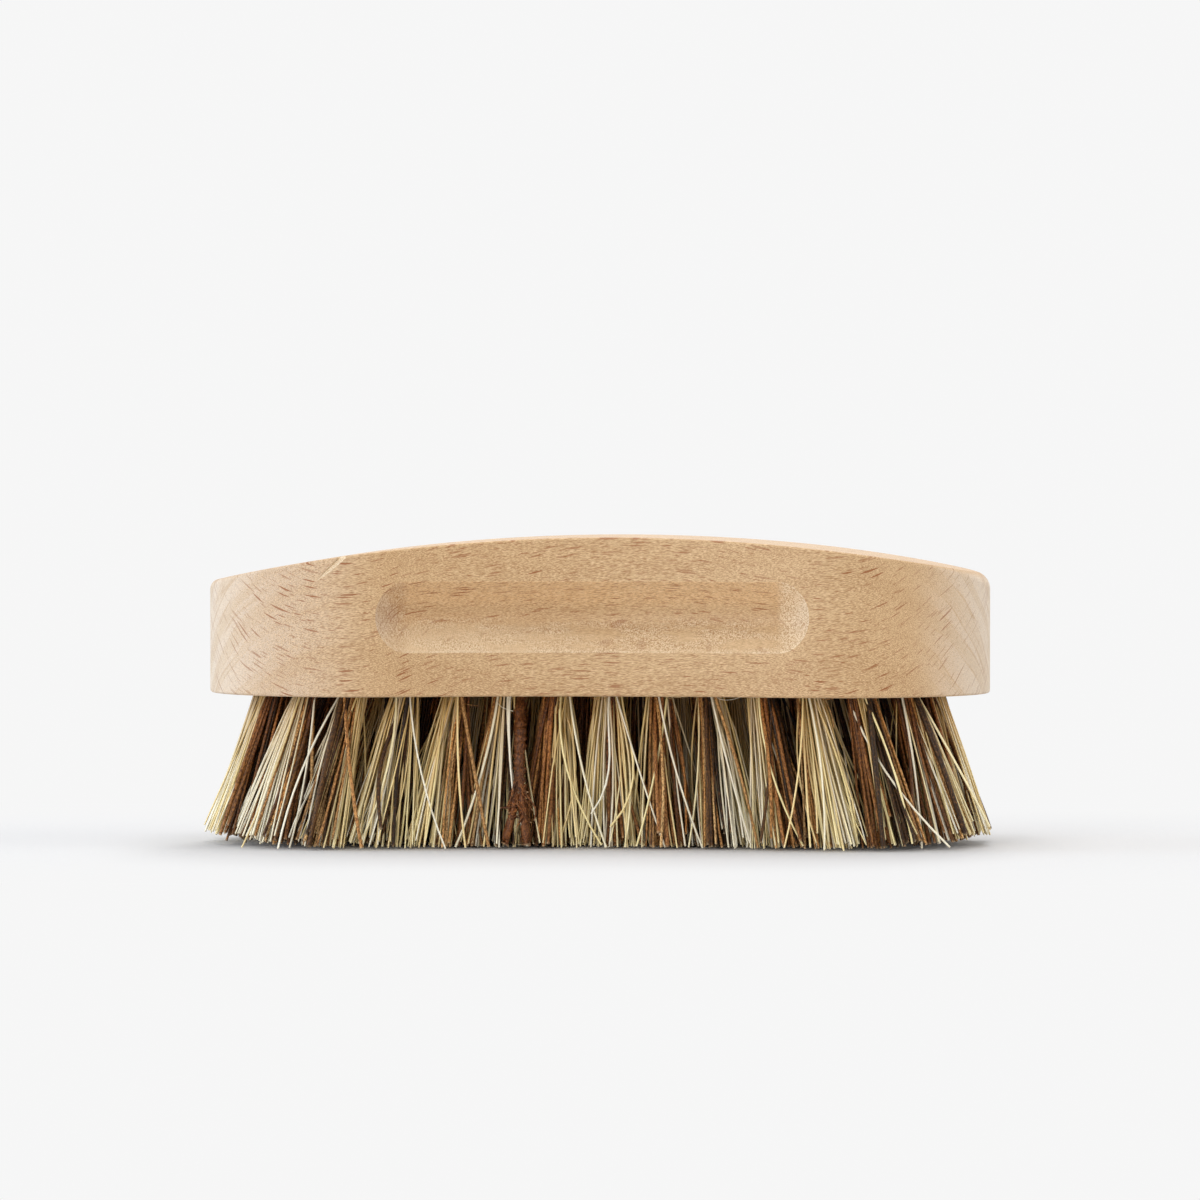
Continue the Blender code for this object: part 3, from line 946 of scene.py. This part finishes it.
def add_fibre(strands, root, tips, start, aim, name, root_light):
    """One common fibre, from its hole's mouth towards its aim. Round the two ends it is straighter."""
    chance = strands.chance
    radius = chance.uniform(KINDS[name].thin, KINDS[name].thick)
    spare = chance.uniform(0, TIP_MARGIN)
    aim.x = min(max(aim.x, cad_box[0][0] + spare), cad_box[1][0] - spare)
    aim.y = min(max(aim.y, cad_box[0][1] + spare), cad_box[1][1] - spare)
    past_lobe = max(0, abs(start.x) - LOBE_CENTRE) / LOBE_RADIUS
    reach = (STRONG_BOW if chance.random() < STRONG_SHARE else SLIGHT_BOW) * (1 - past_lobe)
    bend = Vector((chance.gauss(0, reach), chance.gauss(0, reach), 0))
    length = fibre_length(chance) - END_TRIM * past_lobe
    kink = random_kink(chance)
    path = fibre_path(start, aim, length, bend, None if past_lobe > STRAIGHT_PAST_SHARE else kink)
    add_path(strands, [held_back(spot, root, tips) for spot in path], name, radius, root_light)


def spread_points(count, reach, chance):
    """Points over a disc, evenly spaced like seeds in a sunflower and slightly shaken."""
    shake = 0.08 * reach
    points = []
    for i in range(count):
        distance = reach * sqrt((i + 0.5) / count)
        turn = i * pi * (3 - sqrt(5))
        points.append((distance * cos(turn) + chance.uniform(-shake, shake),
                       distance * sin(turn) + chance.uniform(-shake, shake)))
    return points


def kind_at(mix, x, chance):
    """The kind at this distance from the tuft's middle, read from its mix with some scatter."""
    place = (x / ROOT_REACH + 1) / 2 * len(mix) + chance.gauss(0, MIX_SCATTER)
    return LETTERS[mix[min(max(int(place), 0), len(mix) - 1)]]


def strayed(chance):
    """How far a tip strays from its place: a little, or now and then a lot."""
    spread = RARE_STRAY if chance.random() < RARE_SHARE else TIP_STRAY
    return chance.gauss(0, spread), chance.gauss(0, spread)


def fibre_length(chance):
    if chance.random() < TRIMMED_SHARE:
        return TRIMMED + chance.gauss(0, TRIM_SCATTER)
    return TRIMMED - abs(chance.gauss(0, SHORT_SCATTER))


def random_kink(chance):
    """Where along the fibre it turns, and how far it then goes aside for each part of its length."""
    if chance.random() > KINK_SHARE:
        return None
    way = chance.uniform(0, 2 * pi)
    bite = chance.uniform(0.1, 0.3)
    return chance.uniform(0.35, 0.75), Vector((bite * cos(way), bite * sin(way) * 0.6, 0.05))


def fill_tuft(strands, root, tips, mix, root_light):
    """The common fibres of a tuft, which fan out from its hole."""
    chance = strands.chance
    fan = TIP_REACH / ROOT_REACH
    for x, y in spread_points(FIBRES_PER_TUFT, ROOT_REACH, chance):
        name = kind_at(mix, x, chance)
        stray = strayed(chance)
        start = Vector((root.x + x, root.y + y, UNDERSIDE))
        aim = Vector((tips.x + x * fan + stray[0], tips.y + y * fan + stray[1], 0))
        add_fibre(strands, root, tips, start, aim, name, root_light)


# Strays leave their hole near its rim and bow out to the front
HOLE_REACH = 2.65 * MM
STRAY_BOW = 1.2 * MM


class Stray:
    """A fibre that stands out in front of its tuft.

    route gives its x in millimetres at equal steps from the block down to its tip, and ends the
    tip's height in millimetres above the table.
    """

    def __init__(self, name, radius, route, ends=0.2):
        self.name = name
        self.radius = radius * MM
        self.route = [x * MM for x in route]
        self.ends = ends * MM

    def x_at(self, share):
        """The route's smooth curve: one weight for each of its places, from the others' distances."""
        last = len(self.route) - 1
        total = 0
        for i, x in enumerate(self.route):
            weight = 1
            for j in range(last + 1):
                if j != i:
                    weight *= (share * last - j) / (i - j)
            total += weight * x
        return total

    def path(self, root, tips, rings=FIBRE_RINGS):
        """In front of the tuft's other fibres, from just inside the rim of its hole."""
        aside = min(max(self.x_at(0) - root.x, -HOLE_REACH), HOLE_REACH)
        start = Vector((root.x + aside, root.y - sqrt(HOLE_REACH**2 - aside**2), UNDERSIDE))
        front = tips.y - TIP_REACH
        shift = start.x - self.x_at(0)
        path = [start + Vector((0, 0, IN_HOLE))]
        for k in range(rings):
            share = k / (rings - 1)
            path.append(Vector((self.x_at(share) + shift * (1 - share),
                                start.y + (front - start.y) * share - STRAY_BOW * sin(pi * share),
                                UNDERSIDE + (self.ends - UNDERSIDE) * share)))
        return path


# The strays of the front tufts, which are counted from the left
STRAYS = {
    2: [Stray("cream", 0.22, (-53.2, -54.5, -57.4)), Stray("straw", 0.2, (-56.0, -60.5, -66.5))],
    3: [Stray("bark", 0.55, (-47.6, -50.8, -53.5)), Stray("tan", 0.4, (-47.3, -45.8, -43.5)),
        Stray("cream", 0.24, (-48.3, -55.2, -59.3))],
    4: [Stray("cream", 0.2, (-35.0, -32.5, -27.8)), Stray("straw", 0.24, (-37.5, -39.0, -44.0), 1.2)],
    5: [Stray("tan", 0.42, (-25.4, -22.6, -19.8)), Stray("straw", 0.24, (-26.0, -25.6, -24.2))],
    6: [Stray("cream", 0.27, (-18.4, -21.3, -26.2)), Stray("cream", 0.24, (-16.2, -16.0, -14.7), 6.7),
        Stray("cream", 0.26, (-16.6, -15.6, -12.6), 0.6)],
    7: [Stray("cream", 0.24, (-5.0, -2.2, 2.3)), Stray("straw", 0.24, (-6.6, -5.2, 1.4), 0.8)],
    8: [Stray("cream", 0.22, (2.6, 2.7, 2.6, -0.6), 6.7), Stray("straw", 0.24, (4.8, 6.6, 7.2, 3.0), 4.2),
        Stray("cream", 0.2, (3.9, 8.5, 13.4), 0.4)],
    9: [Stray("cream", 0.22, (12.0, 15.5, 20.5)), Stray("straw", 0.24, (13.6, 11.5, 8.0), 0.6)],
    10: [Stray("cream", 0.22, (22.0, 25.5, 29.5), 1.4), Stray("tan", 0.34, (22.6, 27.5, 31.0))],
    11: [Stray("straw", 0.22, (31.0, 33.5, 39.5), 1.0)],
    12: [Stray("cream", 0.24, (40.5, 43.0, 43.5)), Stray("straw", 0.2, (39.4, 38.6, 36.0), 0.8)],
    13: [Stray("bark", 0.6, (51.8, 53.2, 54.6)), Stray("cream", 0.23, (47.9, 55.0, 67.0), 1.0),
         Stray("straw", 0.22, (51.0, 56.5, 60.0), 1.6)],
    14: [Stray("cream", 0.24, (58.0, 60.5, 61.8)), Stray("bark", 0.6, (60.6, 65.6, 70.0), 3.0),
         Stray("straw", 0.26, (61.0, 68.0, 74.6), 4.5)],
}

# The scaly stalk: its whole part, and the x and radius of its two worn halves in millimetres
STALK_TUFT = 6
STALK = Stray("husk", 1.15, (-14.4, -14.2, -14.0), 10.5)
STALK_RINGS = 40
STALK_HALVES = ((-16.9, 0.8), (-12.6, 0.75))
HALF_RINGS = 14
HALF_OVERLAP = 2.5 * MM
HALF_FORWARD = 0.6 * MM
HALF_ENDS = 0.4 * MM
SPLINTERS = 26


def add_stalk(strands, root, tips):
    """One thick scaly stalk, whose lower end is worn into two shaggy halves and splinters."""
    chance = strands.chance
    stalk = STALK.path(root, tips, STALK_RINGS)
    add_path(strands, stalk, STALK.name, STALK.radius, ragged=0.3)
    joint = stalk[-1]
    top = joint + Vector((0, 0, HALF_OVERLAP))
    for x, radius in STALK_HALVES:
        aim = Vector((x * MM, joint.y - HALF_FORWARD, HALF_ENDS))
        half = [top + (aim - top) * (k / HALF_RINGS) for k in range(HALF_RINGS + 1)]
        add_path(strands, half, STALK.name, radius * MM, ragged=0.35)
    for _ in range(SPLINTERS):
        start = joint + Vector((chance.uniform(-1.2, 1.2), -0.6, chance.uniform(-5, 3))) * MM
        way = Vector((chance.gauss(0, 1.6), chance.uniform(-0.8, 0.2), -abs(chance.gauss(0, 2.4)))) * MM
        sag = Vector((chance.gauss(0, 0.5), -0.3, 0)) * MM
        steps = [start + way * (k / 4) + sag * sin(pi * k / 4) for k in range(5)]
        add_path(strands, steps, STALK.name, chance.uniform(0.06, 0.22) * MM, ragged=0.2)


HAIR_RADIUS = 0.07 * MM
HAIR_STEPS = 9
HAIR_DROP = 0.3 * MM


def add_hairs(strands, root, count):
    """Fine curled hairs that stand out of the tuft close below the block."""
    chance = strands.chance
    for _ in range(count):
        out = Vector((root.x * 0.4, root.y, 0)).normalized()
        spot = root + out * 2.0 * MM
        spot.z = UNDERSIDE
        way = out + Vector((chance.uniform(-1.4, 1.4), 0, chance.uniform(-1.6, -0.3)))
        curl = Vector((chance.gauss(0, 0.6), chance.gauss(0, 0.3), chance.gauss(0, 0.5)))
        steps = [spot + Vector((0, 0, IN_HOLE)), spot]
        for _ in range(HAIR_STEPS):
            way = (way + curl * 0.5).normalized()
            spot = spot + way * chance.uniform(0.5, 1.0) * MM
            spot.z = min(spot.z, UNDERSIDE - HAIR_DROP)
            steps.append(spot)
        add_path(strands, steps, chance.choice(("cream", "straw", "tan")), HAIR_RADIUS)


def mix_of(node, root, chance):
    """A front tuft's own mix, set ones round the two ends, and a random one for the rest."""
    if node in FRONT_TUFTS:
        return FRONT_MIXES[FRONT_TUFTS.index(node)]
    if abs(root.x) > LOBE_CENTRE + LOBE_RADIUS / 2:
        return LEFT_END_MIX if root.x < 0 else RIGHT_END_MIX
    return "".join(chance.choices(list(COMMON_MIX), COMMON_MIX.values(), k=MIX_LENGTH))


FIRST_SEED = 1000


def make_tuft(node, index, finishes):
    """A tuft's fibres in one piece, with the strays, stalk and hairs that belong to it."""
    chance = random.Random(FIRST_SEED + index)
    root, tips = tuft_ends(node)
    mix = mix_of(node, root, chance)
    outer = node.startswith("outer")
    strands = Strands(chance)
    # Inner tufts get deeper painted shade towards their holes than outer ones
    fill_tuft(strands, root, tips, mix, OUTER_ROOT_LIGHT if outer else INNER_ROOT_LIGHT)
    if node in FRONT_TUFTS:
        place = FRONT_TUFTS.index(node) + 1
        for stray in STRAYS.get(place, []):
            add_path(strands, stray.path(root, tips), stray.name, stray.radius)
        if place == STALK_TUFT:
            add_stalk(strands, root, tips)
    if outer and abs(root.x) < LOBE_CENTRE:
        add_hairs(strands, root, chance.choice((0, 1, 1, 2)))
    mesh = strands.mesh(node + "_fibres", finishes)
    tuft = bpy.data.objects.new(node + "_fibres", mesh)
    bpy.context.scene.collection.objects.link(tuft)
    browns = sum(mix.count(letter) for letter in BROWNS)
    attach(tuft, "root")
    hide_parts(node)
    "brown_fibre" if browns > len(mix) / 2 else "pale_fibre"


# The camera stands a little to the right of the brush's middle and above the table
CAMERA_DISTANCE = 1.1
CAMERA_TURN = radians(2.75)
CAMERA_HEIGHT = UNDERSIDE + 43.3 * MM
CAMERA_ASIDE = 0.11 * MM
FOCAL_PIXELS = 5720
PHOTO_PIXELS = 1200
HORIZON_PIXEL = 466.6
SENSOR = 36


def make_camera():
    data = bpy.data.cameras.new("camera")
    data.sensor_width = SENSOR
    data.lens = FOCAL_PIXELS / PHOTO_PIXELS * SENSOR
    camera = bpy.data.objects.new("camera", data)
    bpy.context.scene.collection.objects.link(camera)
    camera.location = (CAMERA_DISTANCE * sin(CAMERA_TURN) + CAMERA_ASIDE,
                       -CAMERA_DISTANCE * cos(CAMERA_TURN), CAMERA_HEIGHT)
    tilt = atan2(PHOTO_PIXELS / 2 - HORIZON_PIXEL, FOCAL_PIXELS)
    camera.rotation_euler = (pi / 2 - tilt, 0, CAMERA_TURN)
    bpy.context.scene.camera = camera


BACKGROUND = colour(246, 246, 246)
ROOM_LIGHT = 0.42


def make_world():
    world = bpy.data.worlds.new("studio")
    bpy.context.scene.world = world
    tree = Tree(world)
    room = tree.node("ShaderNodeBackground", {}, {"Color": (1, 1, 1, 1), "Strength": ROOM_LIGHT})
    shown = tree.node("ShaderNodeBackground", {}, {"Color": BACKGROUND, "Strength": 1.0})
    mix = tree.node("ShaderNodeMixShader", {}, {0: tree.seen_plainly(), 1: room, 2: shown})
    tree.show(mix, "World Output")


# The round lamps: place, size, power and tint. All shine on the middle of the brush.
BRUSH_MIDDLE = Vector((0, 0, 0.03))
LAMPS = {
    "key": ((-0.8, -1.45, 0.45), 1.0, 13.5, (1, 1, 1)),
    "left": ((-1.6, -0.1, 0.6), 1.0, 10.5, (0.74, 0.86, 1)),
    "right": ((1.65, -0.2, 0.6), 1.0, 10.5, (1, 0.98, 0.94)),
    "top": ((0, 0.1, 1.6), 1.4, 13, (1, 1, 1)),
    "back": ((0.15, 0.92, 1.3), 0.5, 6.3, (1, 1, 1)),
}


def make_lamp(name, place, size, power, tint):
    data = bpy.data.lights.new(name, "AREA")
    data.shape = "DISK"
    data.size = size
    data.energy = power
    data.color = tint
    obj = bpy.data.objects.new(name, data)
    obj.location = place
    obj.rotation_euler = (BRUSH_MIDDLE - Vector(place)).to_track_quat("-Z", "Y").to_euler()
    bpy.context.scene.collection.objects.link(obj)


PAPER = colour(212, 212, 213)
PAPER_FADE = (0.014, 0.12)
FADE_STRETCH = 0.12
FLOOR_REACH = 6


def make_floor():
    """Paper that keeps the brush's shadow, and further out is seen as the plain background.

    The change is more gradual along the brush. The paper is clear from below, so that the underside
    can be looked at.
    """
    finish = Finish("paper")
    finish.constant("Base Color", PAPER)
    finish.constant("Roughness", 0.9)
    finish.constant("Specular IOR Level", 0.1)
    shown = finish.node("ShaderNodeEmission", {}, {"Color": BACKGROUND, "Strength": 1.0})
    x, y, _ = finish.parts(finish.node("ShaderNodeTexCoord", output=3))
    far = (x * x * FADE_STRETCH + y * y).root()
    away = far.steps(*PAPER_FADE) * finish.seen_plainly()
    paper = Value(finish, finish.shader.outputs[0])
    front = finish.node("ShaderNodeMixShader", {}, {0: away, 1: paper, 2: shown})
    below = finish.node("ShaderNodeNewGeometry").sister("Backfacing")
    clear = finish.node("ShaderNodeBsdfTransparent")
    finish.show(finish.node("ShaderNodeMixShader", {}, {0: below, 1: front, 2: clear}), "Material Output")
    bm = bmesh.new()
    bmesh.ops.create_grid(bm, x_segments=1, y_segments=1, size=FLOOR_REACH)
    floor = made_object("floor", bm, finish.material)


def main():
    make_camera()
    make_floor()
    make_world()
    for name, values in LAMPS.items():
        make_lamp(name, *values)
    make_block([tuft_ends(name)[0].xy for name in TUFTS])
    finishes = (fibre_finish("pale_fibre", soft=0.2, gloss=0.6, streak_share=0.14, speck_share=0.1),
                fibre_finish("brown_fibre", soft=0.45, gloss=0.25, streak_share=0.35, speck_share=0.85))
    for index, name in enumerate(TUFTS):
        make_tuft(name, index, finishes)
    bpy.context.scene.view_settings.view_transform = "Standard"


main()
